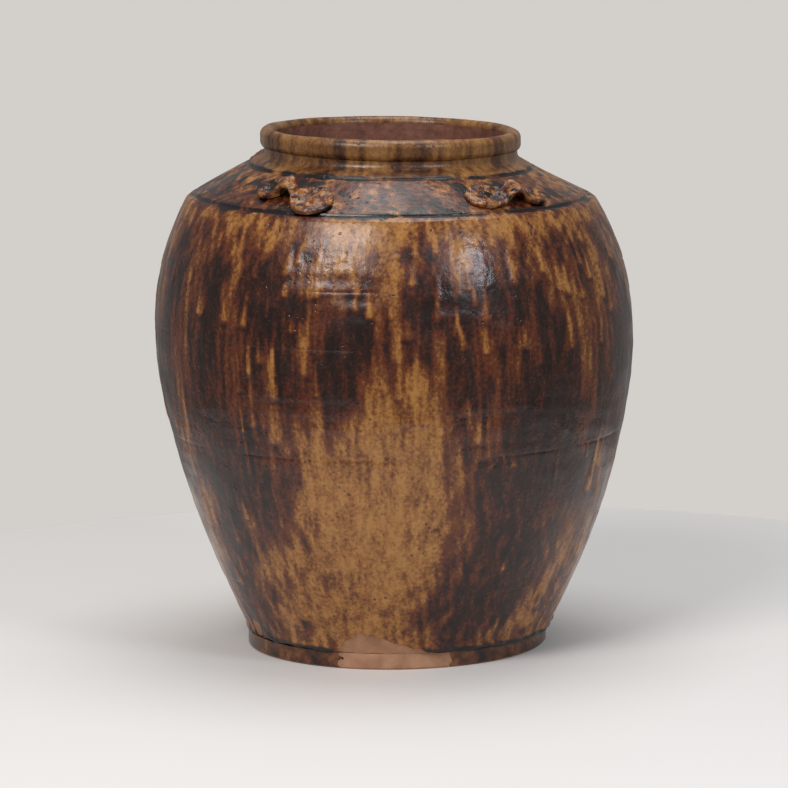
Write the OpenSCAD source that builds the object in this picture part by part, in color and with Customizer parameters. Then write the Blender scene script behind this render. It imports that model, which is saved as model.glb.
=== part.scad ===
// Martaban jar: a shouldered stoneware storage jar with a rolled rim and four cord lugs,
// raised in luted clay courses on a flat base slab.
// The origin is the middle of the foot's underside, +Z is up and the front is -Y.
// Azimuths run in degrees from the front towards +X. All sizes are in millimetres.

/* [Body] */
// Outer radius of the belly at its widest
belly_r = 164; // [145:0.5:185]
// Height of the widest line of the belly
belly_z = 219; // [200:1:240]
// Radius of the belly's curve just below its widest line
belly_curve_r = 270; // [230:5:310]
// Radius of the long lower flank, from the belly's curve down to the foot
flank_curve_r = 560; // [480:10:700]
// Thickness of the walls and the shoulder
wall_t = 9; // [7:0.5:11]
// Radius of the fillet between the inner wall and the floor
floor_fillet_r = 12; // [8:1:18]

/* [Foot] */
// How far the wall draws in from the belly down to the base slab
foot_draw = 60.6; // [52:0.1:68]
// Thickness of the base slab, which shows as the upright foot band
slab_t = 11; // [9:0.5:14]
// Width of the ledge where the wall overhangs the base slab
foot_ledge = 0.3; // [0.2:0.1:2]
// Bevel along the lower edge of the base slab
foot_bevel = 1.2; // [0.5:0.1:3]
// Width of the flat ring that the jar stands on
stand_w = 18; // [10:0.5:28]
// Depth of the shallow dish inside that ring
dish_depth = 1.5; // [0.8:0.1:3]
// Width of the slope at the edge of the dish
dish_edge_w = 10; // [4:1:20]

/* [Courses] */
// Height of the joint between the foot course and the lower course
foot_joint_z = 52; // [40:1:70]
// Height of the joint between the lower course and the belly course
lower_joint_z = 151; // [135:1:165]
// Height of the joint between the belly course and the haunch course
belly_joint_z = 226; // [200:1:240]
// Height of the joint between the haunch course and the upper course
haunch_joint_z = 264; // [255:1:275]
// Slope of the joint beds, which fall towards the outside
bed_slope = 14; // [0:1:25]
// Depth of the faint line left where two courses were luted
seam_depth = 0.4; // [0.2:0.1:0.8]

/* [Shoulder] */
// How far the wall draws in from the belly up to the shoulder corner
corner_draw = 24.1; // [20:0.1:29]
// Height of the corner between wall and shoulder
corner_z = 308.8; // [285:0.1:335]
// Slope of the shoulder
shoulder_slope = 28; // [24:0.5:32]
// Rounding of the shoulder corner
corner_round_r = 3; // [2:0.5:5]
// Distance down the slope from the incised shoulder line to the corner
corner_line_inset = 5.5; // [5:0.5:8]
// Half width of the incised lines
line_r = 2; // [1.5:0.1:2.5]
// Depth of the incised lines
line_depth = 1.1; // [0.6:0.1:1.4]

/* [Neck and rim] */
// Radius of the mouth
mouth_r = 79.5; // [70:0.5:89]
// Thickness of the upright neck
neck_t = 6.8; // [5.5:0.1:9]
// Radius of the fillet where the neck flares into the shoulder
neck_fillet_r = 6; // [4:0.5:7]
// How far the line around the neck's flared foot lies outside the neck
neck_line_out = 11.2; // [9.5:0.1:13]
// Height of the neck's upright side below the rim roll
neck_h = 4.7; // [3.8:0.1:8]
// Height of the rim roll from its underside to its crest
rim_h = 13.7; // [12:0.1:16]
// How far the rim roll stands out past the neck
rim_overhang = 2.5; // [1.5:0.1:4]
// Height of the neck's top inside the rim roll
rim_seat_h = 5.2; // [4:0.1:6]

/* [Lugs] */
// How far the lugs' middle line lies inside the shoulder corner
lug_inset = 19; // [17:0.5:21]
// Thickness of the strap over the eye
strap_t = 4.5; // [3.5:0.1:6]
// Width of the strap over the eye
strap_w = 12.5; // [10:0.5:15]
// Width of the eye that the cord runs through
eye_w = 12; // [9:0.5:14]
// Height of the eye
eye_h = 7; // [5:0.5:8]
// Thickness of the pressed pads at the ends of the strap
pad_t = 4.6; // [3.5:0.1:5.5]
// Length of the strap that runs down from each side of the eye to the pads
leg_len = 6.5; // [5:0.5:8]
// Gap between a lug's underside and the shoulder, filled by slip and glaze
luting_gap = 0.1; // [0.05:0.05:0.3]

/* [Hidden] */

// The hand-pressed form of each lug: azimuth of its crest, how far up the slope it sits, and for
// the pad at each end of the strap its length, width and droop down the slope, then the depth of
// the thumb print and its place, from -1 beside the eye to 1 at the pad's far end.
lug_azimuth = 0;
lug_rise = 1;
pad_left = 2;
pad_right = 3;
pad_length = 0;
pad_width = 1;
pad_droop = 2;
thumb_depth = 3;
thumb_place = 4;
front_left_form = [-34.5, 6, [23, 21, 0, 3.8, 0.2], [28.5, 29, 10, 1.6, -0.3]];
front_right_form = [41.5, 1, [31, 25, 0, 3, -0.3], [22, 17, 4, 1, 0]];
back_left_form = [-132.5, 1, [24, 26, 2, 2.6, 0], [22, 24, 1, 2, 0]];
back_right_form = [143, 2, [22, 24, 1, 2.4, 0], [25, 27, 4, 3, 0.1]];

// Greatest distance between a drawn curve and the true one
chord_error = 0.01;
// Sides of a full turn about the jar's axis
turn_sides = 240;
// Longer than any section, for the half planes and bands
reach = 600;

glaze_amber = "#8a5524";
glaze_brown = "#6a3d1d";
glaze_dark = "#4a2a18";
bare_clay = "#a87f5c";

function sides(r) = 4 * ceil(45 / acos(1 - chord_error / r));
function along(angle) = [cos(angle), sin(angle)];

// The upper curve is upright at the belly and ends at the shoulder corner.
corner_rise = corner_z - belly_z;
corner_r = belly_r - corner_draw;
upper_curve_r = (corner_rise * corner_rise + corner_draw * corner_draw) / (2 * corner_draw);
upper_centre = [belly_r - upper_curve_r, belly_z];
belly_centre = [belly_r - belly_curve_r, belly_z];

// The flank's circle touches the belly's circle from outside it and passes through the wall's foot,
// so its centre stands at known distances from the belly's centre and from the foot.
foot_wall_r = belly_r - foot_draw;
to_foot = [foot_wall_r, slab_t] - belly_centre;
foot_dir = to_foot / norm(to_foot);
centre_gap = flank_curve_r - belly_curve_r;
centre_along = (pow(centre_gap, 2) - pow(flank_curve_r, 2) + to_foot * to_foot) / (2 * norm(to_foot));
centre_across = sqrt(pow(centre_gap, 2) - pow(centre_along, 2));
flank_centre = belly_centre + centre_along * foot_dir + centre_across * [foot_dir.y, -foot_dir.x];
flank_normal = (belly_centre - flank_centre) / centre_gap;
flank_z = belly_centre.y + belly_curve_r * flank_normal.y;

function arc_x(centre, r, z) = centre.x + sqrt(r * r - (z - centre.y) * (z - centre.y));

function wall_r(z) =
    z > belly_z ? arc_x(upper_centre, upper_curve_r, z) :
    z > flank_z ? arc_x(belly_centre, belly_curve_r, z) :
    arc_x(flank_centre, flank_curve_r, z);

function shoulder_z(r) = corner_z + (corner_r - r) * tan(shoulder_slope);

slope_down = along(-shoulder_slope);
slope_out = along(90 - shoulder_slope);

// The slope's line drawn in by an inset, where it meets the axis
function slope_at_axis(inset) = [0, shoulder_z(0) - inset / cos(shoulder_slope)];

// Rounding of the shoulder corner: its centre is as far inside the wall as inside the slope.
round_line = slope_at_axis(corner_round_r);
round_along = (upper_centre - round_line) * slope_down;
round_across = (upper_centre - round_line) * slope_out;
round_reach = sqrt(pow(upper_curve_r - corner_round_r, 2) - pow(round_across, 2));
round_centre = round_line + (round_along + round_reach) * slope_down;
round_wall_dir = (round_centre - upper_centre) / norm(round_centre - upper_centre);

// Neck and rim follow from the mouth and the shoulder.
neck_r = mouth_r + neck_t;
neck_line_r = neck_r + neck_line_out;
neck_foot_z = shoulder_z(neck_r);
rim_under_z = neck_foot_z + neck_h;
rim_top_z = rim_under_z + rim_h;
rim_seat_z = rim_under_z + rim_seat_h;
rim_r = neck_r + rim_overhang;
rim_round_r = (rim_r - mouth_r) / 2;
rim_middle_r = mouth_r + rim_round_r;

lug_r = corner_r - lug_inset;
lug_h = eye_h + strap_t;

corner_line = [corner_r, corner_z] - corner_line_inset * slope_down;
neck_line = [neck_line_r, shoulder_z(neck_line_r)];

echo(overall_height = rim_top_z, belly_diameter = 2 * belly_r, foot_diameter = 2 * foot_wall_r);

// A disc placed in the half section
module disc(centre, r) {
    translate(centre) circle(r, $fn = sides(r));
}

// The part of the half section between two heights
module band(low, high) {
    translate([0, low]) square([reach, high - low]);
}

// Everything above a line through a point, which rises at an angle from +X
module above(point, angle) {
    translate(point) rotate(angle) translate([-reach, 0]) square([2 * reach, reach]);
}

// The body's half section, drawn in from the outside by an inset
module body_area(inset) {
    flank_switch_z = flank_z - inset * flank_normal.y;
    intersection() {
        union() {
            intersection() {
                band(slab_t, flank_switch_z);
                disc(flank_centre, flank_curve_r - inset);
            }
            intersection() {
                band(flank_switch_z, belly_z);
                disc(belly_centre, belly_curve_r - inset);
            }
            intersection() {
                band(belly_z, rim_top_z);
                disc(upper_centre, upper_curve_r - inset);
            }
        }
        difference() {
            band(0, rim_top_z);
            above(slope_at_axis(inset), -shoulder_slope);
        }
    }
}

// The sharp corner of wall and shoulder that the rounding takes away
module corner_waste() {
    difference() {
        polygon([
            round_centre,
            round_centre + corner_round_r * slope_out,
            [corner_r + corner_round_r, shoulder_z(corner_r + corner_round_r) + corner_round_r],
            [corner_r + 2 * corner_round_r, corner_z - corner_round_r],
            round_centre + corner_round_r * round_wall_dir
        ]);
        disc(round_centre, corner_round_r);
    }
}

// The flare between the shoulder and the upright neck
module neck_flare() {
    centre_r = neck_r + neck_fillet_r;
    centre = [centre_r, shoulder_z(centre_r) + neck_fillet_r / cos(shoulder_slope)];
    difference() {
        polygon([
            [neck_r, neck_foot_z],
            centre - neck_fillet_r * slope_out,
            centre,
            [neck_r, centre.y],
            [mouth_r, centre.y],
            [mouth_r, neck_foot_z]
        ]);
        disc(centre, neck_fillet_r);
    }
}

// The fillet that closes the corner between the inner wall and the floor
module floor_fillet() {
    inner_r = flank_curve_r - wall_t - floor_fillet_r;
    centre = [arc_x(flank_centre, inner_r, slab_t + floor_fillet_r), slab_t + floor_fillet_r];
    wall_dir = (centre - flank_centre) / norm(centre - flank_centre);
    difference() {
        intersection() {
            body_area(wall_t);
            translate([centre.x, slab_t]) square([reach, floor_fillet_r * (1 + wall_dir.y)]);
        }
        disc(centre, floor_fillet_r);
    }
}

// The upright neck, which runs down through the shoulder's thickness to its underside
module neck_wall() {
    low = slope_at_axis(wall_t) + mouth_r / slope_down.x * slope_down;
    translate(low) square([neck_r - mouth_r, rim_seat_z - low.y]);
}

// The open mouth through shoulder and neck
module mouth() {
    translate([0, corner_z]) square([mouth_r, rim_top_z]);
}

// The half section of all courses above the base slab, before it is cut at the joints
module wall_section() {
    difference() {
        union() {
            difference() {
                body_area(0);
                body_area(wall_t);
            }
            floor_fillet();
            neck_flare();
            neck_wall();
        }
        mouth();
        corner_waste();
        disc(corner_line + (line_r - line_depth) * slope_out, line_r);
        disc(neck_line + (line_r - line_depth) * slope_out, line_r);
        for (z = [foot_joint_z, lower_joint_z, belly_joint_z, haunch_joint_z])
            disc([wall_r(z) + line_r - seam_depth, z], line_r);
    }
}

// The half plane above the sloping bed of the joint at a height
module above_bed(z) {
    above([wall_r(z), z], -bed_slope);
}

// The half plane on the neck's side of a cut square to the shoulder's slope
module towards_neck(point) {
    above(point, 90 - shoulder_slope);
}

module course(low, high) {
    rotate_extrude($fn = turn_sides) difference() {
        intersection() {
            wall_section();
            above_bed(low);
        }
        above_bed(high);
    }
}

module base_slab() {
    foot_r = foot_wall_r - foot_ledge;
    stand_r = foot_r - foot_bevel - stand_w;
    color(bare_clay) rotate_extrude($fn = turn_sides) polygon([
        [0, dish_depth],
        [stand_r - dish_edge_w, dish_depth],
        [stand_r, 0],
        [foot_r - foot_bevel, 0],
        [foot_r, foot_bevel],
        [foot_r, slab_t],
        [0, slab_t]
    ]);
}

module foot_wall() {
    color(glaze_dark) rotate_extrude($fn = turn_sides) difference() {
        wall_section();
        above_bed(foot_joint_z);
    }
}

module lower_wall() {
    color(glaze_brown) course(foot_joint_z, lower_joint_z);
}

module belly_wall() {
    color(glaze_dark) course(lower_joint_z, belly_joint_z);
}

module haunch_wall() {
    color(glaze_brown) course(belly_joint_z, haunch_joint_z);
}

module upper_wall() {
    color(glaze_amber) rotate_extrude($fn = turn_sides) difference() {
        intersection() {
            wall_section();
            above_bed(haunch_joint_z);
        }
        towards_neck(corner_line);
    }
}

module shoulder() {
    color(glaze_brown) rotate_extrude($fn = turn_sides) difference() {
        intersection() {
            wall_section();
            above_bed(haunch_joint_z);
            towards_neck(corner_line);
        }
        towards_neck(neck_line);
    }
}

module neck_collar() {
    color(glaze_amber) rotate_extrude($fn = turn_sides) intersection() {
        wall_section();
        band(belly_z, rim_top_z);
        towards_neck(neck_line);
    }
}

module rim_roll() {
    color(glaze_amber) rotate_extrude($fn = turn_sides) difference() {
        union() {
            disc([rim_middle_r, rim_top_z - rim_round_r], rim_round_r);
            disc([rim_middle_r, rim_under_z + rim_round_r], rim_round_r);
            translate([mouth_r, rim_under_z + rim_round_r])
                square([rim_r - mouth_r, rim_h - 2 * rim_round_r]);
        }
        square([neck_r, rim_seat_z]);
    }
}

// A lug is drawn flat, along the strap, down the slope and up from the shoulder, and then laid
// on the shoulder's cone. Stations run along the strap and each carries one closed ring.
stations = 46;
ring_sides = 24;
// Share of a ring's height where it is widest, and how square its edges are
edge_share = 0.35;
edge_power = 0.32;
// How tightly strap and pad run into each other
blend_power = 4;
// How steeply the pads' crowns fall at their outer ends
end_power = 0.5;
// Shares of the pad's length and width that the thumb print spreads over
thumb_long = 0.31;
thumb_wide = 0.34;

function bell(x) = abs(x) >= 1 ? 0 : (1 + cos(180 * x)) / 2;
function round_end(x) = sqrt(max(0, 1 - x * x));
function blend(a, b) = pow(pow(a, blend_power) + pow(b, blend_power), 1 / blend_power);

// Distance along the strap, closer together at the two ends
function station_at(form, t) =
    let (
        left = -(eye_w / 2 + form[pad_left][pad_length]),
        right = eye_w / 2 + form[pad_right][pad_length],
        even = t,
        eased = (1 - cos(180 * t)) / 2
    ) left + (right - left) * (even + eased) / 2;

function pad_of(form, s) = form[s < 0 ? pad_left : pad_right];

// Share of the pad reached at a station, 0 at its middle and 1 at its far end
function pad_place(form, s) =
    let (half = pad_of(form, s)[pad_length] / 2)
    (abs(s) - eye_w / 2 - half) / half;

// Half of the strap's or pad's width at a station
function half_width(form, s) =
    let (
        pad = pad_of(form, s),
        place = pad_place(form, s),
        strap = strap_w / 2 * (place > 0 ? round_end(place) : 1)
    ) blend(strap, pad[pad_width] / 2 * round_end(place));

// Share of the arch's height at a station, 1 over the eye and 0 where the legs end
function arch_share(s) = bell(s / (eye_w / 2 + leg_len));

function under_h(s) = eye_h * round_end(2 * s / eye_w);

// Crown of the strap and pads at a station
function crown_h(form, s) =
    let (
        place = pad_place(form, s),
        pad = pad_t * (place > 0 ? pow(round_end(place), end_power) : 1)
    ) pad + (lug_h - pad_t) * arch_share(s);

// Distance down the slope from the lugs' middle line to the middle of the strap or pad
function middle_w(form, s) = pad_of(form, s)[pad_droop] * (1 - arch_share(s)) - form[lug_rise];

// Depth of the thumb print at a point of the pad
function thumb_at(form, s, w) =
    let (
        pad = pad_of(form, s),
        x = (pad_place(form, s) - pad[thumb_place]) / (2 * thumb_long),
        y = w / (pad[pad_width] * thumb_wide)
    ) pad[thumb_depth] * exp(-x * x - y * y);

function ring_point(form, s, angle) =
    let (
        w = half_width(form, s) * cos(angle),
        low = under_h(s),
        high = crown_h(form, s),
        edge = low + edge_share * (high - low),
        lift = pow(abs(sin(angle)), edge_power),
        top = edge + (high - edge - thumb_at(form, s, w)) * lift,
        bottom = edge + (low - edge) * lift
    ) [s, w + middle_w(form, s), angle < 180 ? top : bottom];

// From the flat drawing to the shoulder's cone
function on_shoulder(form, point) =
    let (
        turn = form[lug_azimuth] + point.x / lug_r * 180 / PI,
        r = lug_r + point.y * slope_down.x + (point.z + luting_gap) * slope_out.x,
        z = shoulder_z(lug_r) + point.y * slope_down.y + (point.z + luting_gap) * slope_out.y
    ) [r * sin(turn), -r * cos(turn), z];

module lug(form) {
    tips = [for (t = [0, 1]) let (s = station_at(form, t)) [s, middle_w(form, s), 0]];
    points = [
        on_shoulder(form, tips[0]),
        for (i = [1:stations - 1], k = [0:ring_sides - 1])
            on_shoulder(form, ring_point(form, station_at(form, i / stations), 360 * k / ring_sides)),
        on_shoulder(form, tips[1])
    ];
    last = len(points) - 1;
    first_of_last_ring = last - ring_sides;
    faces = [
        for (k = [0:ring_sides - 1]) [0, 1 + (k + 1) % ring_sides, 1 + k],
        for (i = [0:stations - 3], k = [0:ring_sides - 1])
            let (
                a = 1 + i * ring_sides + k,
                b = 1 + i * ring_sides + (k + 1) % ring_sides
            ) each [[a, b, b + ring_sides], [a, b + ring_sides, a + ring_sides]],
        for (k = [0:ring_sides - 1])
            [last, first_of_last_ring + k, first_of_last_ring + (k + 1) % ring_sides]
    ];
    color(glaze_amber) polyhedron(points, faces);
}

module lug_front_left() { lug(front_left_form); }
module lug_front_right() { lug(front_right_form); }
module lug_back_left() { lug(back_left_form); }
module lug_back_right() { lug(back_right_form); }

base_slab();
foot_wall();
lower_wall();
belly_wall();
haunch_wall();
upper_wall();
shoulder();
neck_collar();
rim_roll();
lug_front_left();
lug_front_right();
lug_back_left();
lug_back_right();
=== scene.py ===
# %% [markdown]
# A martaban jar was raised in luted courses of clay, dipped in an iron glaze and fired until the
# glaze ran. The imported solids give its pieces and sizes. This lesson gives them their skin: the
# slightly crooked body, the runs of glaze, the pressed lugs and the bare clay at the foot.

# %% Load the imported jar
import math
import bpy
import numpy as np
from mathutils import Matrix


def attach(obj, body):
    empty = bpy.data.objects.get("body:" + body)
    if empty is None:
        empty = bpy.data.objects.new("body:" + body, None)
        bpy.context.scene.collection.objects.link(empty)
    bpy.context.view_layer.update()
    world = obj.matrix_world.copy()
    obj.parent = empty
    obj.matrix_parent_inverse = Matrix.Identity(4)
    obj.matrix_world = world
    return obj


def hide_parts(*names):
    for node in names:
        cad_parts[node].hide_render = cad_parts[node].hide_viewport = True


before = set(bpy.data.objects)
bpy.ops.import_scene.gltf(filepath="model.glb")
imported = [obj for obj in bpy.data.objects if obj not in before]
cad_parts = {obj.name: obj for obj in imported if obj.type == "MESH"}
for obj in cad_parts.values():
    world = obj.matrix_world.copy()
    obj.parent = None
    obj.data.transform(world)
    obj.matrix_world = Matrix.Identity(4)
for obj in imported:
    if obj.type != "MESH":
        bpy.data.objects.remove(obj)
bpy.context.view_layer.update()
print("nodes:", ", ".join(sorted(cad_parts)))

# %% [markdown]
# The outline is a handful of arcs. A vase profile could be a traced curve, but arcs through named
# sizes say why it bulges where it does, and they meet without a break. Lengths are millimetres here
# and turn into metres only when a mesh is made.

# %% Sizes of the body
metre = 0.001
belly_r = 164.0
belly_z = 219.0
belly_curve_r = 270.0
flank_curve_r = 560.0
foot_draw = 60.6
slab_t = 11.0
wall_t = 9.0
corner_draw = 24.1
corner_z = 308.8
slope_degrees = 28
bed_degrees = 14
joints = {"foot": 52.0, "lower": 151.0, "belly": 226.0, "haunch": 264.0}
foot_r = belly_r - foot_draw
corner_r = belly_r - corner_draw
slope = math.radians(slope_degrees)
bed_fall = math.tan(math.radians(bed_degrees))

# %% Sizes of the neck, rim and incised lines
mouth_r = 79.5
neck_t = 6.8
neck_h = 4.7
neck_line_out = 11.2
rim_h = 13.7
corner_line_inset = 5.5
neck_r = mouth_r + neck_t
neck_line_r = neck_r + neck_line_out
slope_down = np.array([math.cos(slope), -math.sin(slope)])
slope_out = np.array([math.sin(slope), math.cos(slope)])


def shoulder_z(r):
    """Height of the shoulder's cone, which falls outwards to the corner at a fixed slope."""
    return corner_z + (corner_r - r) * math.tan(slope)


corner = np.array([corner_r, corner_z])
corner_line = corner - corner_line_inset * slope_down
neck_line = np.array([neck_line_r, shoulder_z(neck_line_r)])
rim_under_z = shoulder_z(neck_r) + neck_h
rim_top_z = rim_under_z + rim_h
print("rim top at", round(rim_top_z, 1), "mm")

# %% Centres of the three arcs
upper_curve_r = ((corner_z - belly_z) ** 2 + (belly_r - corner_r) ** 2) / (2 * (belly_r - corner_r))
belly_centre = np.array([belly_r - belly_curve_r, belly_z])
to_foot = np.array([foot_r, slab_t]) - belly_centre
reach = float(np.hypot(*to_foot))
gap = flank_curve_r - belly_curve_r
gap_along = (gap ** 2 - flank_curve_r ** 2 + reach ** 2) / (2 * reach)
gap_across = math.sqrt(gap ** 2 - gap_along ** 2)
foot_dir = to_foot / reach
inwards = np.array([foot_dir[1], -foot_dir[0]])
flank_centre = belly_centre + gap_along * foot_dir + gap_across * inwards
flank_dir = (belly_centre - flank_centre) / gap
flank_z = belly_centre[1] + belly_curve_r * flank_dir[1]


def wall_r(z, inset=0.0):
    """Radius of the wall at a height, on the arc of upper wall, belly or flank, less an inset."""
    z = np.asarray(z, float)
    span = lambda r, middle: np.sqrt(np.maximum((r - inset) ** 2 - (z - middle) ** 2, 0))
    upper = belly_r - upper_curve_r + span(upper_curve_r, belly_z)
    belly = belly_centre[0] + span(belly_curve_r, belly_z)
    flank = flank_centre[0] + span(flank_curve_r, flank_centre[1])
    switch = flank_z - inset * flank_dir[1]
    return np.where(z > belly_z, upper, np.where(z > switch, belly, flank))


print("flank meets belly at", round(float(flank_z), 1), "mm")

# %% [markdown]
# The camera comes before the glaze, because marks on the glaze are placed by where the photograph
# shows them. A long lens three metres away keeps the ellipses of foot and rim as flat as they look.

# %% Camera at the photograph's angle
frame_px = 788
focal_px = 4841.7
camera_place = np.array([0.0, -3293.81, 696.34])
pitch_down = math.radians(9.048)
roll = math.radians(0.755)
sensor_mm = 36.0

camera_data = bpy.data.cameras.new("camera")
camera_data.sensor_width = sensor_mm
camera_data.lens = sensor_mm * focal_px / frame_px
camera_data.clip_end = 50.0
camera = bpy.data.objects.new("camera", camera_data)
bpy.context.scene.collection.objects.link(camera)
turn = Matrix.Rotation(math.pi / 2 - pitch_down, 4, "X") @ Matrix.Rotation(-roll, 4, "Z")
camera.matrix_world = Matrix.Translation(camera_place * metre) @ turn
bpy.context.scene.camera = camera
print("lens", round(camera_data.lens, 1), "mm")


# %% A place on the wall from a pixel of the photograph
nearest, farthest, sight_steps = 3050, 3450, 1600


def on_wall(x, y):
    """Azimuth in degrees and height in mm where the line of sight through a pixel meets the wall:
    the first step along the line whose distance from the axis is inside the wall's radius."""
    u, v = x - frame_px / 2, y - frame_px / 2
    u, v = math.cos(roll) * u - math.sin(roll) * v, math.sin(roll) * u + math.cos(roll) * v
    ahead = np.array([0.0, math.cos(pitch_down), -math.sin(pitch_down)])
    up = np.array([0.0, math.sin(pitch_down), math.cos(pitch_down)])
    sight = ahead * focal_px + np.array([1.0, 0.0, 0.0]) * u - up * v
    steps = np.linspace(nearest, farthest, sight_steps)[:, None] / focal_px
    path = camera_place + steps * sight
    from_axis = np.hypot(path[:, 0], path[:, 1])
    hit = path[np.argmax(from_axis < wall_r(np.clip(path[:, 2], 0, corner_z)))]
    return math.degrees(math.atan2(hit[0], -hit[1])), float(np.clip(hit[2], 0, corner_z))


print("middle of the belly is at", [round(v, 1) for v in on_wall(394, 340)])


# %% [markdown]
# Glaze pattern and surface relief have to agree, so both come from the same fields, worked out on
# each mesh. A noise texture could not push points before the mesh is made. A seeded sum of plane
# waves can: its clouds are smooth, the same each time, and cross the joints without a step.

# %% Clouds
def cloud(points, size, seed, waves=20):
    """Sum of cosines with seeded directions and phases, wavelengths near a size, spread about 1."""
    dice = np.random.default_rng(seed)
    headings = dice.normal(size=(waves, 3))
    headings /= np.linalg.norm(headings, axis=1)[:, None]
    lengths = size * dice.uniform(0.6, 1.7, waves)
    starts = dice.uniform(0, 2 * np.pi, waves)
    total = np.zeros(points.shape[:-1])
    for heading, length, start in zip(headings, lengths, starts):
        total += np.cos(points @ (heading * 2 * np.pi / length) + start)
    return total * math.sqrt(2 / waves)


def soft_step(x):
    """0 below 0 and 1 above 1, with an S between."""
    x = np.clip(x, 0, 1)
    return x * x * (3 - 2 * x)


def turned_from(azimuth, middle):
    """Degrees from one azimuth to another, the short way round."""
    return np.mod(azimuth - middle + 180, 360) - 180


streak_stretch = np.array([1.0, 1.0, 0.16])
ring_squash = np.array([0.12, 0.12, 1.0])

# %% Patches of glaze
# Patches seen in the photograph: pixel across and down, half width and half height in mm, strength
amber_patches = [
    (352, 560, 30, 62, 1.5), (405, 500, 22, 80, 2.0), (330, 470, 30, 50, 0.9),
    (388, 300, 9, 48, 1.3), (460, 340, 5, 6, 2.2), (466, 430, 7, 9, 1.5),
    (505, 456, 22, 3, 1.0), (520, 520, 14, 10, 0.8), (236, 430, 7, 34, 0.8),
    (268, 372, 5, 30, 1.1), (224, 395, 5, 20, 0.9), (300, 320, 10, 30, 0.7),
    (288, 600, 16, 22, 0.9), (520, 620, 20, 18, 0.7), (258, 570, 9, 34, 0.8),
    (420, 400, 12, 22, 1.2),
]
dark_patches = [
    (500, 560, 34, 58, -1.6), (205, 330, 20, 52, -1.3), (470, 400, 16, 30, -1.2),
    (545, 400, 26, 70, -1.0), (345, 345, 18, 22, -0.8), (440, 300, 20, 26, -1.1),
    (270, 285, 22, 22, -0.9), (215, 470, 16, 60, -0.8), (330, 400, 12, 14, -0.6),
    (500, 260, 30, 14, -0.3),
]
# Patches on the far side, guessed: azimuth, height, half width, half height, strength
far_patches = [
    (95, 110, 40, 80, 1.3), (150, 190, 22, 60, 1.0), (-150, 120, 42, 85, 1.5),
    (-95, 60, 26, 40, 0.9), (120, 40, 30, 30, 0.9), (-120, 215, 30, 50, -1.2),
    (180, 90, 30, 60, -1.2), (75, 215, 24, 60, -0.9),
]


def patch_at(azimuth, z, r, middle, high, half_w, half_h):
    """A flat-topped mound with soft edges about a place, in mm along the wall and up it."""
    across = turned_from(azimuth, middle) * np.pi / 180 * r
    return np.exp(-((across / half_w) ** 4 + ((z - high) / half_h) ** 4) ** 0.75)


print(len(amber_patches) + len(dark_patches) + len(far_patches), "patches")

# %% [markdown]
# Runs of molten glaze are long and narrow at the top, and end in a thick rounded head with a dark
# edge under it. They could be curves laid on the pot, but on the real jar they melt into the coat,
# so each run is added to the fields of relief, amber and black.

# %% Runs of glaze
# Two runs placed by pixel, each with azimuth, top, length, width and strength
runs = [(*on_wall(601, 410), 52.0, 3.4, 1.6), (*on_wall(270, 345), 32.0, 3.0, 1.2)]
# Bands of scattered runs, each with how many, the lowest and highest top, and the usual length
run_bands = ((120, 268, 306, 22), (110, 150, 262, 26), (90, 24, 150, 22), (80, 14, 44, 18))
dice = np.random.default_rng(47)
for count, low, high, usual in run_bands:
    azimuths = dice.uniform(-180, 180, count)
    tops = dice.uniform(low, high, count)
    lengths = dice.uniform(0.4, 1.5, count) * usual
    widths = dice.uniform(1.3, 2.9, count)
    strengths = dice.uniform(0.4, 1.2, count)
    runs += list(zip(azimuths, tops, lengths, widths, strengths))


def run_fields(azimuth, z, r):
    """Sum over the runs of a tapering body and a round head, and of the dark rim below the head.
    Places down a run are shares of its length. Across it and from its head they are in widths."""
    body = np.zeros(z.shape)
    rim = np.zeros(z.shape)
    row_z = z.mean(axis=1)
    for middle, top, length, width, strength in runs:
        rows = np.nonzero((row_z > top - length - 4 * width) & (row_z < top + 3))[0]
        if len(rows) == 0:
            continue
        part = slice(rows[0], rows[-1] + 1)
        across = turned_from(azimuth[part], middle) * np.pi / 180 * r[part] / width
        down = (top - z[part]) / length
        grown = np.clip(down, 0, 1)
        tail = soft_step(down * 2.2) * soft_step((1.05 - down) * 8) * (0.5 + 0.5 * grown)
        tail = tail * np.exp(-across ** 2 * (2.6 - 1.4 * grown))
        drop = (top - length - z[part]) / width
        head = np.exp(-across ** 2 / 1.4 - drop ** 2 / 2.2)
        body[part] += strength * np.maximum(tail, head)
        rim[part] += strength * np.exp(-across ** 2 / 2.2 - (drop - 2.1) ** 2 / 0.8)
    return body, rim


print(len(runs), "runs")

# %% [markdown]
# Near the foot a corner of the wall with straight edges missed the glaze, so pale clay shows. A
# painted mask would do it. Four corners and the distance to the lines between them say it in fewer
# words, and a little noise frays the edge.

# %% Bare clay
# Pixels of the bare clay's corners, then the pixel, half width and half height of the left patch
bare_corners = [(318, 664), (356, 633), (444, 656), (441, 674)]
left_bare = (256, 631, 6.5, 12)
bare_top, bare_fade = 40, 4


def bare_clay(azimuth, z, r, points):
    """Share of bare clay, inside the corner's straight edges, roughened, or in the left patch."""
    corners = np.array([on_wall(*corner) for corner in bare_corners])
    corners[:, 0] *= np.pi / 180 * foot_r
    along = turned_from(azimuth, 0) * np.pi / 180 * foot_r
    inside = np.full(z.shape, 1e3)
    for (ax, az), (bx, bz) in zip(corners, np.roll(corners, -1, axis=0)):
        side = np.hypot(bx - ax, bz - az)
        inside = np.minimum(inside, ((along - ax) * (bz - az) - (z - az) * (bx - ax)) / side)
    inside += 0.35 * cloud(points, 7, 61)
    left = patch_at(azimuth, z, r, *on_wall(*left_bare[:2]), *left_bare[2:]) - 0.55
    left = left * 6 + 0.8 * cloud(points, 9, 62)
    bare = np.maximum(soft_step(inside / 1.6 + 0.5), soft_step(left + 0.2))
    return bare * soft_step((bare_top - z) / bare_fade)


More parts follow.
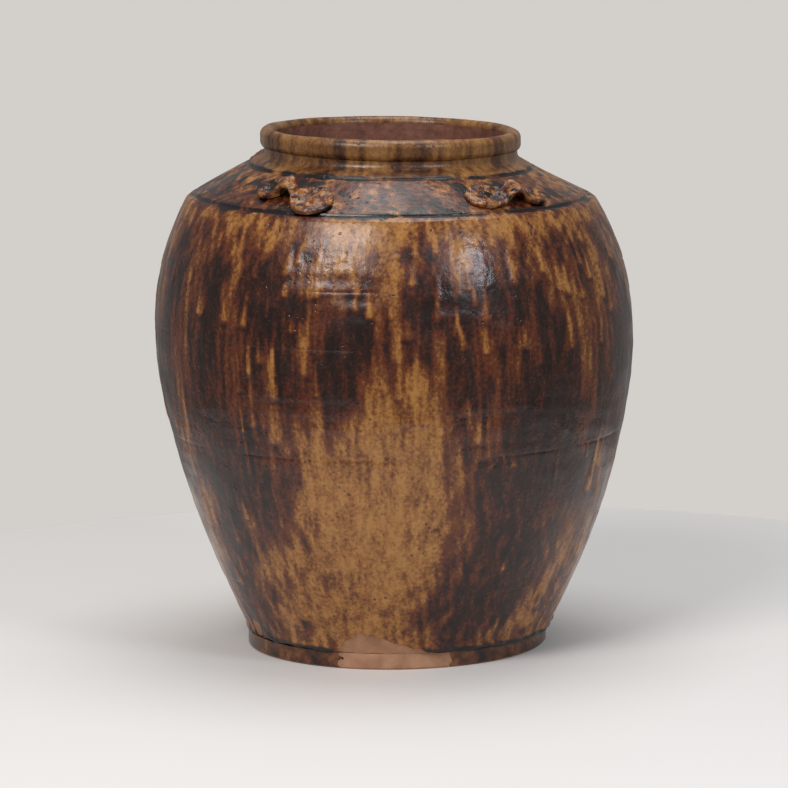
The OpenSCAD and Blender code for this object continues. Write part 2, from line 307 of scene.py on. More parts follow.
# %% [markdown]
# Where the coat is thin it is amber, and where it is thick it is black. Shares of amber, black and
# bare clay could be painted by hand. Here they are sums of the clouds, patches and runs, so that
# every piece takes its share from the same coat and the colours meet across the joints.

# %% Shares of amber and black
# How amber the coat is by height, from the foot to the rim
level_heights = [0, 30, 70, 130, 200, 262, 286, 298, 306, 312, 330, 356]
amber_levels = [0, .1, -.15, -.4, -.6, -.5, -.2, .5, 1.1, -.25, .2, .8]
# Black glaze: its spread beside the lines, where the shoulder ends, and the pool at the foot
line_spread, spread_swing = 2.6, 1.3
slope_end_z = 332
pool_z, pool_half_h = 12, 3.5


def amber_share(points, azimuth, z, r, body, rim):
    """The level by height, clouds of three sizes, the patches and the runs, squeezed to 0 to 1."""
    level = np.interp(z, level_heights, amber_levels)
    streaky = points * streak_stretch
    mottle = 0.75 * cloud(points, 70, 1) + 0.6 * cloud(streaky, 20, 2) + 0.75 * cloud(streaky, 8, 3)
    ragged = 7 * cloud(streaky, 9, 4) + 5 * cloud(streaky, 22, 5)
    patches = np.zeros(z.shape)
    for x, y, half_w, half_h, strength in amber_patches + dark_patches:
        patches += strength * patch_at(azimuth, z + ragged, r, *on_wall(x, y), half_w, half_h)
    for middle, high, half_w, half_h, strength in far_patches:
        patches += strength * patch_at(azimuth, z + ragged, r, middle, high, half_w, half_h)
    on_body = soft_step((corner_z - z) / 3)
    amber = level + mottle * 0.55 + patches + 2.0 * body * on_body - 1.1 * rim
    return 0.5 + 0.5 * np.tanh(amber * 0.85)


def black_share(points, z, r, rim, bare):
    """Glaze pooled in the two incised lines and at the foot, blots on the shoulder, runs' edges."""
    spread = line_spread + spread_swing * cloud(points, 16, 6)
    to_corner = np.hypot(r - corner_line[0], z - corner_line[1])
    to_neck = np.hypot(r - neck_line[0], z - neck_line[1])
    pooled = np.exp(-(to_corner / np.maximum(spread, 0.9)) ** 2)
    pooled = np.maximum(pooled, np.exp(-(to_neck / np.maximum(spread * 0.9, 0.8)) ** 2))
    on_slope = soft_step((z - corner_z) / 3) * soft_step((slope_end_z - z) / 5)
    blots = soft_step(0.6 * cloud(points, 20, 7) + 0.5 * cloud(points, 9, 8) + 0.05) * on_slope
    black = np.clip(np.maximum(pooled, 0.85 * blots) + 0.35 * rim, 0, 1)
    return np.maximum(black, np.exp(-((z - pool_z) / pool_half_h) ** 2) * (1 - bare))


# %% Relief
# Heights in mm of dents, unevenness and throwing rings, of a run and the tallest run, and how far
# the bare clay lies under the coat
dent_h, uneven_h, ring_h = 0.35, 0.10, 0.06
run_h, tallest_run = 0.45, 0.9
coat_t = 0.5
# The roll of glaze at the foot, and the seams between the courses
roll_h, roll_z, roll_half_h = 1.3, 13.5, 3.2
seam_depth, seam_half_h = 0.35, 0.9


def relief_of(points, z, body, bare):
    """Dents, rings, the swelling of the runs, the roll at the foot and the faint seams, in mm."""
    on_body = soft_step((corner_z - z) / 3)
    foot_roll = roll_h * np.exp(-((z - roll_z) / roll_half_h) ** 2)
    foot_roll = foot_roll * (1 + 0.35 * cloud(points, 14, 9)) * (1 - bare)
    relief = dent_h * cloud(points, 130, 11) + uneven_h * cloud(points, 32, 12)
    relief += ring_h * cloud(points * ring_squash, 9, 10) * on_body
    relief += np.clip(run_h * body, 0, tallest_run) * on_body + foot_roll - coat_t * bare
    faint = np.clip(0.5 + 0.5 * cloud(points, 60, 13), 0.05, 1)
    for joint in joints.values():
        relief -= seam_depth * np.exp(-((z - joint) / seam_half_h) ** 2) * faint
    return relief


def glaze_fields(points, r):
    """Amber, black and bare shares and the relief, at points on the jar's outer skin."""
    azimuth = np.degrees(np.arctan2(points[..., 0], -points[..., 1]))
    z = points[..., 2]
    body, rim = run_fields(azimuth, z, r)
    bare = bare_clay(azimuth, z, r, points)
    amber = amber_share(points, azimuth, z, r, body, rim)
    black = black_share(points, z, r, rim, bare)
    return np.stack([amber, black, bare], axis=-1), relief_of(points, z, body, bare)


# %% [markdown]
# The jar sank a little out of true: its body bows to one side and its mouth tilts. A bend modifier
# on every piece would do it, but a function of height moves each point before its mesh is made.

# %% The lean from the kiln
# How far the middle moves to the right by height, in mm
lean_heights = [0, 30, 60, 110, 160, 220, 262, 290, 325]
leans = [1.6, 2.2, 2.6, 2.3, 1.4, 0.7, 0.0, -0.6, 0.0]
mouth_tilt = math.radians(1.43)
tilt_start_z, tilt_rise = 285, 45


def settle(points):
    """The body bows sideways with height and the mouth's plane tilts down to the right."""
    z = points[..., 2]
    lean = np.interp(z, lean_heights, leans)
    tilt = math.tan(mouth_tilt) * soft_step((z - tilt_start_z) / tilt_rise)
    settled = points.copy()
    settled[..., 0] += lean
    settled[..., 2] -= points[..., 0] * tilt
    return settled


# %% [markdown]
# Every ring of the jar is one closed outline turned about the axis: up the outside, across the bed
# and back down the inside. A lathe modifier would do it, but a grid of outline by turn lets the
# relief push each point along its own normal, and marks the inner faces for their own finish.

# %% Laying a grid into a mesh
sharp_edge = math.radians(50)


def grid_quads(rows, columns, closed):
    """Quads of a grid whose columns go round. A closed grid's last row meets the first."""
    spans = rows if closed else rows - 1
    row, column = np.meshgrid(np.arange(spans), np.arange(columns), indexing="ij")
    here, above = row * columns, (row + 1) % rows * columns
    beside = (column + 1) % columns
    quads = np.stack([here + column, here + beside, above + beside, above + column], axis=-1)
    return quads.reshape(-1, 4)


def make_piece(node, points, quads, tris, glaze, inner=None):
    """A mesh object in metres from points, quads and triangles, with the glaze shares on its points
    and the inner faces marked. It rides on the jar and replaces its node."""
    mesh = bpy.data.meshes.new(node + "_glazed")
    loops = np.concatenate([quads.ravel(), tris.ravel()]).astype(np.int32)
    starts = np.concatenate([np.arange(len(quads)) * 4, len(quads) * 4 + np.arange(len(tris)) * 3])
    mesh.vertices.add(len(points))
    mesh.vertices.foreach_set("co", (points * metre).astype(np.float32).ravel())
    mesh.loops.add(len(loops))
    mesh.loops.foreach_set("vertex_index", loops)
    mesh.polygons.add(len(starts))
    mesh.polygons.foreach_set("loop_start", starts.astype(np.int32))
    if inner is not None:
        mesh.polygons.foreach_set("material_index", inner.astype(np.int32))
    mesh.update(calc_edges=True)
    mesh.validate()
    shares = mesh.attributes.new("glaze", "FLOAT_COLOR", "POINT")
    colours = np.ones((len(points), 4), np.float32)
    colours[:, :3] = np.clip(glaze, 0, 1)
    shares.data.foreach_set("color", colours.ravel())
    mesh.shade_smooth()
    mesh.set_sharp_from_angle(angle=sharp_edge)
    piece = bpy.data.objects.new(mesh.name, mesh)
    bpy.context.scene.collection.objects.link(piece)
    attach(piece, "root")
    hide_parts(node)
    print(piece.name, len(mesh.polygons), "faces")
    return piece


# %% Lines and arcs of an outline
def resample(line, count):
    """Points evenly spaced by length along a broken line."""
    line = np.asarray(line, float)
    length = np.concatenate([[0], np.cumsum(np.hypot(*np.diff(line, axis=0).T))])
    at = np.linspace(0, length[-1], count)
    return np.stack([np.interp(at, length, line[:, axis]) for axis in (0, 1)], axis=1)


def arc(centre, radius, start, end, count=14):
    """Points on a circle from one angle to another, in degrees."""
    turn = np.radians(np.linspace(start, end, count))
    return np.stack([centre[0] + radius * np.cos(turn), centre[1] + radius * np.sin(turn)], axis=1)


# %% A ring of the jar
turn_columns = 640
round_jar = np.linspace(0, 2 * np.pi, turn_columns, endpoint=False)
radial = np.stack([np.sin(round_jar), -np.cos(round_jar), np.zeros(turn_columns)], axis=1)
up = np.array([0.0, 0.0, 1.0])


def about_axis(line):
    """A line of radius and height carried round the axis, as a grid of line by turn."""
    return line[:, None, :1] * radial[None] + line[:, None, 1:] * up


def ring(node, outside, inside, rows, inner_rows=18):
    """Turns the outline about the axis, pushes its outer points along the normal by the relief, and
    closes it both ways round. Rows run up the outside and back down the inside."""
    outer = resample(outside, rows)
    inner = resample(inside, inner_rows)
    outline = np.concatenate([outer, inner])
    tangent = np.gradient(outer, axis=0)
    tangent /= np.hypot(*tangent.T)[:, None]
    normal = np.stack([tangent[:, 1], -tangent[:, 0]], axis=1)
    points = about_axis(outline)
    glaze, relief = glaze_fields(points[:rows], np.repeat(outer[:, :1], turn_columns, axis=1))
    points[:rows] += relief[..., None] * about_axis(normal)
    shares = np.zeros(points.shape)
    shares[:rows] = glaze
    inner_face = np.repeat(np.arange(len(outline)) >= rows - 1, turn_columns)
    quads = grid_quads(len(outline), turn_columns, True)
    return make_piece(node, settle(points).reshape(-1, 3), quads, np.zeros((0, 3), int),
                      shares.reshape(-1, 3), inner_face)


# %% [markdown]
# The wall was raised in courses, each luted on the one below and drawn up. One ring from foot to
# corner would look the same, but a ring for each course keeps every piece of the pack apart. The
# beds between them slope up inwards.

# %% The plain courses of the wall
def course_lines(low, high):
    """Outer and inner line of a course. Its beds rise inwards, so the inside sits higher."""
    lift = wall_t * bed_fall
    up_z = np.linspace(low, high, 60)
    down_z = np.linspace(high + lift, low + lift, 30)
    return np.stack([wall_r(up_z), up_z], 1), np.stack([wall_r(down_z, wall_t), down_z], 1)


# Each plain course with the joints under and over it, and its rows
plain_courses = (("lower_wall", "foot", "lower", 104), ("belly_wall", "lower", "belly", 80),
                 ("haunch_wall", "belly", "haunch", 44))
wall_pieces = {}
for node, low, high, rows in plain_courses:
    wall_pieces[node] = ring(node, *course_lines(joints[low], joints[high]), rows)

# %% The foot course, with a fillet down to the floor
fillet_r = 12.0
fillet_top = slab_t + fillet_r
fillet_centre = (float(wall_r(fillet_top, wall_t)) - fillet_r, fillet_top)
foot_outside, foot_inside = course_lines(slab_t, joints["foot"])
foot_inside = foot_inside[foot_inside[:, 1] > fillet_top]
foot_inside = np.concatenate([foot_inside, arc(fillet_centre, fillet_r, 0, -90)])
wall_pieces["foot_wall"] = ring("foot_wall", foot_outside, foot_inside, 56)

# %% [markdown]
# Two lines are scratched round the shoulder, one by the corner and one by the neck, and pieces meet
# along them. A bump would do from far off, but glaze pools in them, so they are cut in the outline.

# %% The incised lines
groove_r = 2.0
groove_lift = 0.9
groove_half = math.sqrt(groove_r ** 2 - groove_lift ** 2)
groove_turn = math.degrees(math.asin(groove_half / groove_r))


def groove(middle, start, end):
    """Part of the round bottom of a line, by angle from the middle of its arc."""
    inward = slope_degrees + 90
    return arc(middle + groove_lift * slope_out, groove_r, start - inward, end - inward, 8)


def under_shoulder_z(r):
    """Height of the shoulder's underside at a radius."""
    return shoulder_z(r) - wall_t / math.cos(slope)


# %% Upper wall
# The corner is eased by three points: just under it, on it and just up the slope
wall_end_z = corner_z - 2.2
eased_corner = [[float(wall_r(corner_z - 0.9)) - 0.35, corner_z - 0.5],
                [corner_r - 1.0, corner_z + 0.2], corner - 2.4 * slope_down]
inner_corner_r = 130.4
top_z = np.linspace(joints["haunch"], wall_end_z, 40)
upper_outside = np.concatenate([
    np.stack([wall_r(top_z), top_z], 1), eased_corner,
    [corner_line + groove_half * slope_down], groove(corner_line, groove_turn, 0),
])
cut = corner_line - wall_t * slope_out
inner_z = np.linspace(joints["haunch"] + wall_t * bed_fall, under_shoulder_z(inner_corner_r), 30)
upper_inside = np.concatenate([[cut], np.stack([wall_r(inner_z, wall_t), inner_z], 1)[::-1]])
wall_pieces["upper_wall"] = ring("upper_wall", upper_outside, upper_inside, 76)

# %% Shoulder
neck_cut = neck_line - wall_t * slope_out
shoulder_outside = np.concatenate([
    groove(corner_line, 0, -groove_turn), [corner_line - groove_half * slope_down],
    [neck_line + groove_half * slope_down], groove(neck_line, groove_turn, 0),
])
shoulder_piece = ring("shoulder", shoulder_outside, np.array([neck_cut, cut]), 72, 10)

# %% [markdown]
# The neck is a short collar with a flared foot, and the rim is a coil set on it and rolled out.
# Both could be turned in one, but on the jar they are two luted pieces, so they are two rings.

# %% Neck
flare_r = 6.0
seat_h = 5.2
flare_x = neck_r + flare_r
flare_centre = (flare_x, shoulder_z(flare_x) + flare_r / math.cos(slope))
seat_z = rim_under_z + seat_h
neck_outside = np.concatenate([
    groove(neck_line, 0, -groove_turn), [neck_line - groove_half * slope_down],
    arc(flare_centre, flare_r, 270 - slope_degrees, 180),
    [[neck_r, rim_under_z], [neck_r, seat_z]],
])
neck_inside = np.array([[mouth_r, seat_z], [mouth_r, under_shoulder_z(mouth_r)], neck_cut])
neck_piece = ring("neck_collar", neck_outside, neck_inside, 60)

# %% Rim roll
rim_overhang = 2.5
tuck = 0.6
seat_clearance = 0.2
roll_r = (neck_r + rim_overhang - mouth_r) / 2
roll_x = mouth_r + roll_r
rim_outside = np.concatenate([
    [[neck_r, rim_under_z + tuck]], arc((roll_x, rim_under_z + roll_r), roll_r, -50, 0),
    arc((roll_x, rim_top_z - roll_r), roll_r, 0, 180, 30),
])
rim_inside = np.array([[mouth_r, seat_z], [neck_r - seat_clearance, seat_z]])
rim_piece = ring("rim_roll", rim_outside, rim_inside, 64, 6)

# %% [markdown]
# A lug is a strap of clay arched over a finger and thumbed down at both ends. Sculpting would do
# for one, but four of a kind that all differ suit a formula: width, crown and underside by the way
# along the strap, and a thumb print sunk in each pad. It is drawn flat, then laid on the cone.

# %% Sizes of the lugs
lug_inset = 19.0
lug_r = corner_r - lug_inset
slip_t = 0.1
eye_w, eye_h = 12.0, 7.0
strap_w, strap_t = 12.5, 4.5
pad_t = 4.6
leg_len = 6.5
# Azimuth, shift up the slope, then for the left and right end the pad's length, width and droop,
# the depth of its thumb print and where along it the print lies
lug_forms = {
    "lug_front_left": (-34.5, 6, (23, 21, 0, 3.8, 0.2), (28.5, 29, 10, 1.6, -0.3)),
    "lug_front_right": (41.5, 1, (31, 25, 0, 3, -0.3), (22, 17, 4, 1, 0)),
    "lug_back_left": (-132.5, 1, (24, 26, 2, 2.6, 0), (22, 24, 1, 2, 0)),
    "lug_back_right": (143, 2, (22, 24, 1, 2.4, 0), (25, 27, 4, 3, 0.1)),
}
stations = 150
ring_sides = 72
print("lugs at", round(lug_r, 1), "mm from the axis")


# %% The lug drawn flat
# Where the edge lies between underside and crown, how square the strap's section is, and the thumb
# print's length and width as shares of the pad's
edge_share, squareness = 0.35, 0.32
print_len, print_w = 0.62, 0.34
# In mm: how deep a print turns black, and how far up the lug's edge is black and over what it fades
black_dent, black_edge_h, black_edge_fade = 3.8, 1.9, 1.6


def round_end(x):
    """Half circle: 1 in the middle and 0 at either end."""
    return np.sqrt(np.maximum(0, 1 - x * x))


def flat_lug(rise, left, right):
    """Rings along the strap, each as wide as the wider of strap and pad. The crown falls from the
    arch to the pads, the underside rises over the eye, and a bell-shaped print dents each pad."""
    t = (np.arange(1, stations) / stations)[:, None]
    eased = (t + (1 - np.cos(np.pi * t)) / 2) / 2
    along = -(eye_w / 2 + left[0]) + (eye_w + left[0] + right[0]) * eased
    ends = [np.where(along < 0, *pair) for pair in zip(left, right)]
    pad_len, pad_w, droop, print_depth, print_at = ends
    on_pad = (np.abs(along) - eye_w / 2 - pad_len / 2) / (pad_len / 2)
    strap = strap_w / 2 * np.where(on_pad > 0, round_end(on_pad), 1)
    half = (strap ** 4 + (pad_w / 2 * round_end(on_pad)) ** 4) ** 0.25
    arch = (1 + np.cos(np.pi * np.clip(np.abs(along) / (eye_w / 2 + leg_len), 0, 1))) / 2
    low = eye_h * round_end(2 * along / eye_w)
    high = pad_t * np.where(on_pad > 0, np.sqrt(round_end(on_pad)), 1)
    high = high + (eye_h + strap_t - pad_t) * arch
    middle = droop * (1 - arch) - rise
    turn = np.linspace(0, 2 * np.pi, ring_sides, endpoint=False)[None]
    across = half * np.cos(turn)
    dent = print_depth * np.exp(-((on_pad - print_at) / print_len) ** 2
                                - (across / (pad_w * print_w)) ** 2)
    edge = low + edge_share * (high - low)
    lift = np.abs(np.sin(turn)) ** squareness
    on_top = np.sin(turn) >= 0
    height = np.where(on_top, edge + (high - edge - dent) * lift, edge + (low - edge) * lift)
    flat = np.stack([along + 0 * across, across + middle, height], axis=-1)
    crust = 0.30 * cloud(flat, 6, 31) + 0.22 * cloud(flat, 3, 32) + 0.3 * cloud(flat, 14, 33)
    flat[..., 2] += crust * lift * on_top * 0.9
    tips = [[along[0, 0] - 0.3, middle[0, 0], 0], [along[-1, 0] + 0.3, middle[-1, 0], 0]]
    return flat, tips, lug_glaze(flat, height, dent, on_top)


def lug_glaze(flat, height, dent, on_top):
    """Amber all over, black in the thumb prints and along the edge that meets the shoulder."""
    hollow = np.clip(1.3 * dent / black_dent + 0.5 * cloud(flat, 8, 34), 0, 1) * on_top
    low_edge = soft_step((black_edge_h - height) / black_edge_fade)
    black = np.clip(np.maximum(hollow * 0.8, low_edge), 0, 1)
    amber = 0.64 + 0.2 * cloud(flat, 9, 35) + 0.12 * cloud(flat, 4, 36)
    return np.stack([amber, black, 0 * amber], axis=-1)


# %% The lug laid on the shoulder
def on_cone(flat, azimuth):
    """A flat form wrapped round the shoulder at the lugs' radius, off it by the slip."""
    away = np.radians(azimuth) + flat[:, 0] / lug_r
    off = flat[:, 2] + slip_t
    r = lug_r + flat[:, 1] * slope_down[0] + off * slope_out[0]
    z = shoulder_z(lug_r) + flat[:, 1] * slope_down[1] + off * slope_out[1]
    return np.stack([r * np.sin(away), -r * np.cos(away), z], axis=1)


def tip_fans(rings, sides):
    """Triangles from the first and last ring of a tube to the two tips listed after its points."""
    side = np.arange(sides)
    following = (side + 1) % sides
    last = (rings - 1) * sides
    first_tip, last_tip = np.full(sides, rings * sides), np.full(sides, rings * sides + 1)
    return np.concatenate([np.stack([first_tip, following, side], 1),
                           np.stack([last_tip, last + side, last + following], 1)])


def lug(node):
    """One lug from its form."""
    azimuth, rise, left, right = lug_forms[node]
    flat, tips, glaze = flat_lug(rise, left, right)
    points = on_cone(np.concatenate([flat.reshape(-1, 3), tips]), azimuth)
    shares = np.concatenate([glaze.reshape(-1, 3), np.zeros((len(tips), 3))])
    quads = grid_quads(stations - 1, ring_sides, False)
    return make_piece(node, settle(points), quads, tip_fans(stations - 1, ring_sides), shares)


lug_pieces = {node: lug(node) for node in lug_forms}


# %% [markdown]
# The glaze is iron brown: thick it is black, thin over a ridge it breaks to amber. One ramp from
# black through red-brown to amber, driven by the amber share and roughened by fine noise, gives all
# its colours. The clay under it is pinkish and matt. Pits are under 1 mm, so they are a bump.

# %% Colours
def tone(red, green, blue):
    """A colour as seen, 0 to 255, turned to the light values that a shader takes."""
    seen = np.array([red, green, blue]) / 255
    return (*np.where(seen < 0.04, seen / 12.92, ((seen + 0.055) / 1.055) ** 2.4), 1.0)


def grey(level):
    """A share or a roughness as a colour, for the stops of a ramp."""
    return (level, level, level, 1.0)


# %% Node helpers
class Recipe:
    """A material's nodes, added one at a time and linked by name."""

    def __init__(self, name):
        self.material = bpy.data.materials.new(name)
        self.material.use_nodes = True
        self.tree = self.material.node_tree
        self.shader = self.tree.nodes["Principled BSDF"]
        self.place = self.add("ShaderNodeTexCoord").outputs["Object"]

    def add(self, kind, links=(), **settings):
        """A node with its settings, and a link or a value for each input named in links."""
        node = self.tree.nodes.new(kind)
        for key, value in settings.items():
            setattr(node, key, value)
        for socket, value in dict(links).items():
            self.link(value, node.inputs[socket])
        return node

    def link(self, value, socket):
        """Joins another node's output to a socket, or sets the socket to a plain value."""
        if isinstance(value, bpy.types.NodeSocket):
            self.tree.links.new(value, socket)
        else:
            socket.default_value = value

    def noise(self, scale, detail=4.0, roughness=0.55, place=None):
        """Noise from 0 to 1, its scale in cells to the metre."""
        links = {"Scale": scale, "Detail": detail, "Roughness": roughness,
                 "Vector": place or self.place}
        return self.add("ShaderNodeTexNoise", links).outputs["Fac"]

    def swing(self, *settings):
        """The same noise, swinging about nought."""
        return self.maths("SUBTRACT", self.noise(*settings), 0.5)

    def maths(self, operation, *values):
        """One math node over one or two values."""
        links = dict(enumerate(values))
        return self.add("ShaderNodeMath", links, operation=operation).outputs[0]

    def ramp(self, value, stops):
        """Colour by a value, through stops of place and colour."""
        node = self.add("ShaderNodeValToRGB", {"Fac": value})
        elements = node.color_ramp.elements
        while len(elements) < len(stops):
            elements.new(0.5)
        for element, (at, colour) in zip(elements, stops):
            element.position = at
            element.color = colour
        return node.outputs["Color"]

    def mix(self, share, under, over):
        """One colour laid over another by a share. Inputs 6 and 7 are the node's two colours."""
        links = {"Factor": share, 6: under, 7: over}
        return self.add("ShaderNodeMix", links, data_type="RGBA").outputs[2]

    def finish(self, colour, rough, height, strength, depth=0.0008):
        """The shader's colour, roughness and bump, whose depth is in metres."""
        links = {"Strength": strength, "Distance": depth, "Height": height}
        bump = self.add("ShaderNodeBump", links)
        self.link(colour, self.shader.inputs["Base Color"])
        self.link(rough, self.shader.inputs["Roughness"])
        self.link(bump.outputs["Normal"], self.shader.inputs["Normal"])
        return self.material


# %% Colours and grain of the glaze
glaze_stops = [(0.0, tone(26, 11, 7)), (0.2, tone(52, 22, 12)), (0.4, tone(88, 39, 18)),
               (0.58, tone(102, 56, 25)), (0.78, tone(142, 92, 42)), (1.0, tone(168, 118, 62))]
ochre_stops = [(0.0, tone(46, 23, 14)), (0.35, tone(82, 48, 24)), (0.65, tone(116, 76, 38)),
               (1.0, tone(150, 106, 58))]
clay_stops = [(0.3, tone(146, 104, 78)), (0.6, tone(176, 132, 102)), (0.8, tone(188, 148, 118))]
black_glaze, pit_black = tone(16, 12, 13), tone(22, 13, 14)
bare_rough = 0.85
# Sizes of the noise in cells to the metre, so that 190 makes streaks about 5 mm apart
streak_cells, grain_cells = 190, 420
pit_cells, pitted_cells = 170, 70
blot_cells, clay_cells, dull_cells, skin_cells = 120, 60, 45, 260


def coat_colour(recipe, amber, stops):
    """Colour by the amber share, with streaks down the wall and a fine grain."""
    links = {"Vector": recipe.place, "Scale": (1, 1, 0.22)}
    stretched = recipe.add("ShaderNodeMapping", links).outputs[0]
    streaks = recipe.maths("MULTIPLY", recipe.swing(streak_cells, 5, 0.6, stretched), 1.15)
    shade = recipe.maths("ADD", recipe.maths("MULTIPLY", amber, 0.78), streaks)
    shade = recipe.maths("ADD", shade, recipe.swing(grain_cells, 4, 0.65))
    return recipe.ramp(recipe.maths("ADD", shade, 0.08), stops)


def pit_share(recipe):
    """Round pits in the middle of scattered cells, in some places only."""
    links = {"Vector": recipe.place, "Scale": pit_cells}
    cells = recipe.add("ShaderNodeTexVoronoi", links).outputs["Distance"]
    pits = recipe.ramp(cells, [(0.0, grey(1)), (0.13, grey(0.8)), (0.22, grey(0))])
    some = recipe.ramp(recipe.noise(pitted_cells, 2), [(0.48, grey(0)), (0.60, grey(1))])
    return recipe.maths("MULTIPLY", pits, some)


# %% The glazed finishes
def glazed(name, stops, gloss):
    """The coat's colour with pits, black glaze and bare clay laid over it in turn."""
    recipe = Recipe(name)
    shares = recipe.add("ShaderNodeAttribute", attribute_name="glaze").outputs["Color"]
    amber, black, bare = recipe.add("ShaderNodeSeparateColor", {0: shares}).outputs
    pits = pit_share(recipe)
    colour = coat_colour(recipe, amber, stops)
    colour = recipe.mix(recipe.maths("MULTIPLY", pits, 0.8), colour, pit_black)
    dark = recipe.maths("ADD", black, recipe.swing(blot_cells, 3))
    colour = recipe.mix(recipe.ramp(dark, [(0.35, grey(0)), (0.75, grey(1))]), colour, black_glaze)
    clay = recipe.ramp(recipe.noise(clay_cells, 6, 0.6), clay_stops)
    is_bare = recipe.ramp(bare, [(0.4, grey(0)), (0.6, grey(1))])
    colour = recipe.mix(is_bare, colour, clay)
    dull = recipe.noise(dull_cells, 4)
    rough = recipe.ramp(dull, [(0.35, grey(gloss)), (0.7, grey(gloss + 0.2))])
    rough = recipe.mix(is_bare, rough, grey(bare_rough))
    skin = recipe.noise(skin_cells, 3, 0.5)
    skin = recipe.maths("SUBTRACT", skin, recipe.maths("MULTIPLY", pits, 1.3))
    return recipe.finish(colour, rough, skin, 0.35)


wall_glaze = glazed("running_glaze", glaze_stops, 0.20)
rim_glaze = glazed("ochre_rim_glaze", ochre_stops, 0.26)

# %% [markdown]
# Inside, the clay has only a brown slip. The edge of the foot slab is dark with glaze but for the
# bare corner in front, and its underside is bare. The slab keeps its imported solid, so its finish
# goes by place and needs no shares on its points.

# %% Inside of the jar
slip_stops = [(0.3, tone(92, 55, 42)), (0.55, tone(124, 78, 62)), (0.75, tone(142, 96, 78))]


def inside_clay():
    """Reddish brown slip, dull, with a fine grain."""
    recipe = Recipe("inside_slip")
    grain = recipe.noise(150, 6, 0.65)
    return recipe.finish(recipe.ramp(grain, slip_stops), 0.6, grain, 0.4, 0.001)


inside_slip = inside_clay()

# %% The foot
foot_stops = [(0.3, tone(146, 104, 78)), (0.7, tone(182, 140, 110))]
band_stops = [(0.35, tone(28, 15, 11)), (0.52, tone(84, 44, 21)), (0.7, tone(130, 84, 40))]
# In metres: half the bare part's width, how far forward it starts, and where the underside ends
bare_half_w, bare_front_y, underside_z = 0.037, -0.05, 0.0004


def foot_clay():
    """Bare clay underneath and in the middle of the front, and brown glaze on the rest."""
    recipe = Recipe("bare_foot")
    x, y, z = recipe.add("ShaderNodeSeparateXYZ", {0: recipe.place}).outputs
    wobble = recipe.maths("MULTIPLY", recipe.swing(90, 4), 0.02)
    off_middle = recipe.maths("ABSOLUTE", recipe.maths("ADD", x, wobble))
    in_middle = recipe.maths("LESS_THAN", off_middle, bare_half_w)
    in_front = recipe.maths("LESS_THAN", y, bare_front_y)
    under = recipe.maths("LESS_THAN", z, underside_z)
    bare = recipe.maths("MAXIMUM", recipe.maths("MULTIPLY", in_middle, in_front), under)
    clay = recipe.ramp(recipe.noise(70, 6, 0.6), foot_stops)
    glaze = recipe.ramp(recipe.noise(110, 4), band_stops)
    rough = recipe.mix(bare, grey(0.25), grey(bare_rough))
    return recipe.finish(recipe.mix(bare, glaze, clay), rough, recipe.noise(300, 5), 0.4)


foot_finish = foot_clay()


# %% Putting the finishes on
def dress(piece, outer):
    """Puts the outer finish and the inside's on a piece."""
    piece.data.materials.append(outer)
    piece.data.materials.append(inside_slip)


for piece in wall_pieces.values():
    dress(piece, wall_glaze)
dress(shoulder_piece, wall_glaze)
dress(neck_piece, rim_glaze)
dress(rim_piece, rim_glaze)
for piece in lug_pieces.values():
    dress(piece, wall_glaze)
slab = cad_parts["base_slab"]
slab.data.materials.clear()
slab.data.materials.append(foot_finish)
print("finishes:", len(bpy.data.materials))

# %% [markdown]
# The jar stands on a plain pale round floor. A broad soft lamp on the left gives the sheen on the
# shoulder, a cooler one on the right the faint patch like a window, and one overhead lights the
# rim. The pale wall behind is only a colour that the camera sees, so it adds no light.

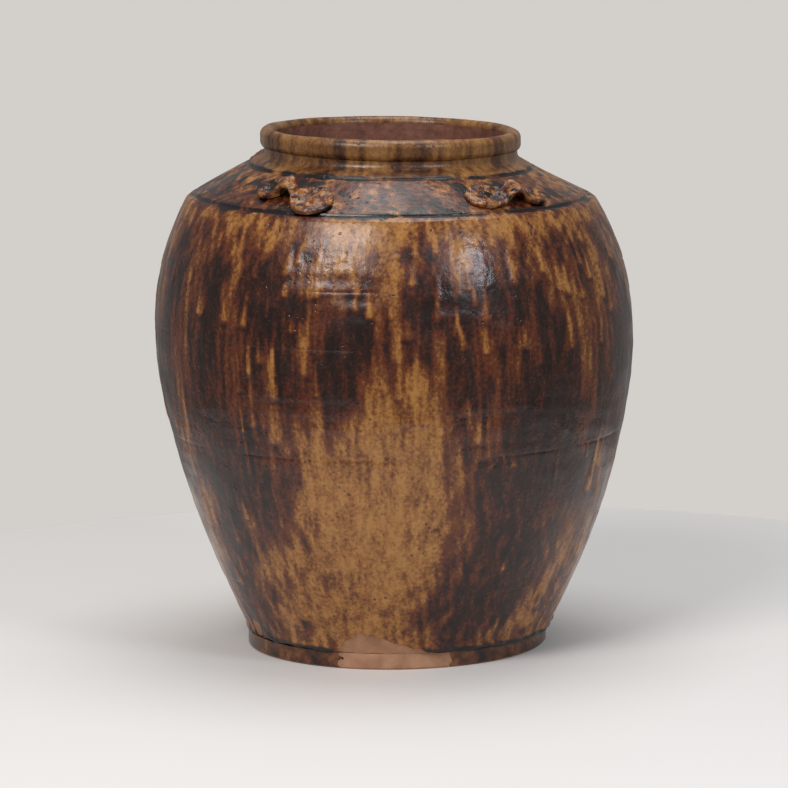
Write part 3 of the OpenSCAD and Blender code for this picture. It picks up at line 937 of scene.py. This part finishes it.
# %% Floor
floor_r = 0.52
round_floor = np.linspace(0, 2 * np.pi, 180, endpoint=False)
disc = floor_r * np.stack([np.cos(round_floor), np.sin(round_floor), 0 * round_floor], 1)
floor_mesh = bpy.data.meshes.new("floor")
floor_mesh.from_pydata(disc.tolist(), [], [list(range(len(disc)))])
floor = bpy.data.objects.new("floor", floor_mesh)
bpy.context.scene.collection.objects.link(floor)
floor_paint = Recipe("floor_paint")
floor_paint.shader.inputs["Base Color"].default_value = tone(234, 233, 232)
floor_paint.shader.inputs["Roughness"].default_value = 0.6
floor_mesh.materials.append(floor_paint.material)

# %% Wall behind and light of the room
world = bpy.data.worlds.new("room")
bpy.context.scene.world = world
world.use_nodes = True
sky = world.node_tree
sky_light = sky.nodes["Background"]
sky_light.inputs["Color"].default_value = tone(240, 238, 236)
sky_light.inputs["Strength"].default_value = 0.34
sky_seen = sky.nodes.new("ShaderNodeBackground")
sky_seen.inputs["Color"].default_value = tone(211, 207, 203)
seen = sky.nodes.new("ShaderNodeLightPath")
choose = sky.nodes.new("ShaderNodeMixShader")
sky.links.new(seen.outputs["Is Camera Ray"], choose.inputs[0])
sky.links.new(sky_light.outputs[0], choose.inputs[1])
sky.links.new(sky_seen.outputs[0], choose.inputs[2])
sky.links.new(choose.outputs[0], sky.nodes["World Output"].inputs["Surface"])


# %% Lamps
def lamp(name, place, aim, size, power, colour):
    """A square soft lamp that looks from a place to a point."""
    data = bpy.data.lights.new(name, "AREA")
    data.size = size
    data.energy = power
    data.color = colour
    obj = bpy.data.objects.new(name, data)
    bpy.context.scene.collection.objects.link(obj)
    direction = np.array(aim) - np.array(place)
    yaw = math.atan2(direction[1], direction[0]) - math.pi / 2
    tip = math.atan2(math.hypot(direction[0], direction[1]), -direction[2])
    turn = Matrix.Rotation(yaw, 4, "Z") @ Matrix.Rotation(tip, 4, "X")
    obj.matrix_world = Matrix.Translation(place) @ turn


# Places and sizes in metres, power in watts
lamps = (
    ("left_lamp", (-0.9, -1.5, 1.7), (0, 0, 0.2), 0.9, 27, (1.0, 0.95, 0.92)),
    ("right_lamp", (1.1, -1.3, 1.2), (0, 0, 0.22), 0.5, 9, (0.86, 0.92, 1.0)),
    ("top_lamp", (0.1, 0.2, 2.0), (0, 0, 0.3), 1.2, 15, (1.0, 0.99, 0.97)),
)
for settings in lamps:
    lamp(*settings)
print(len(lamps), "lamps")
bpy.context.scene.view_settings.view_transform = "Standard"
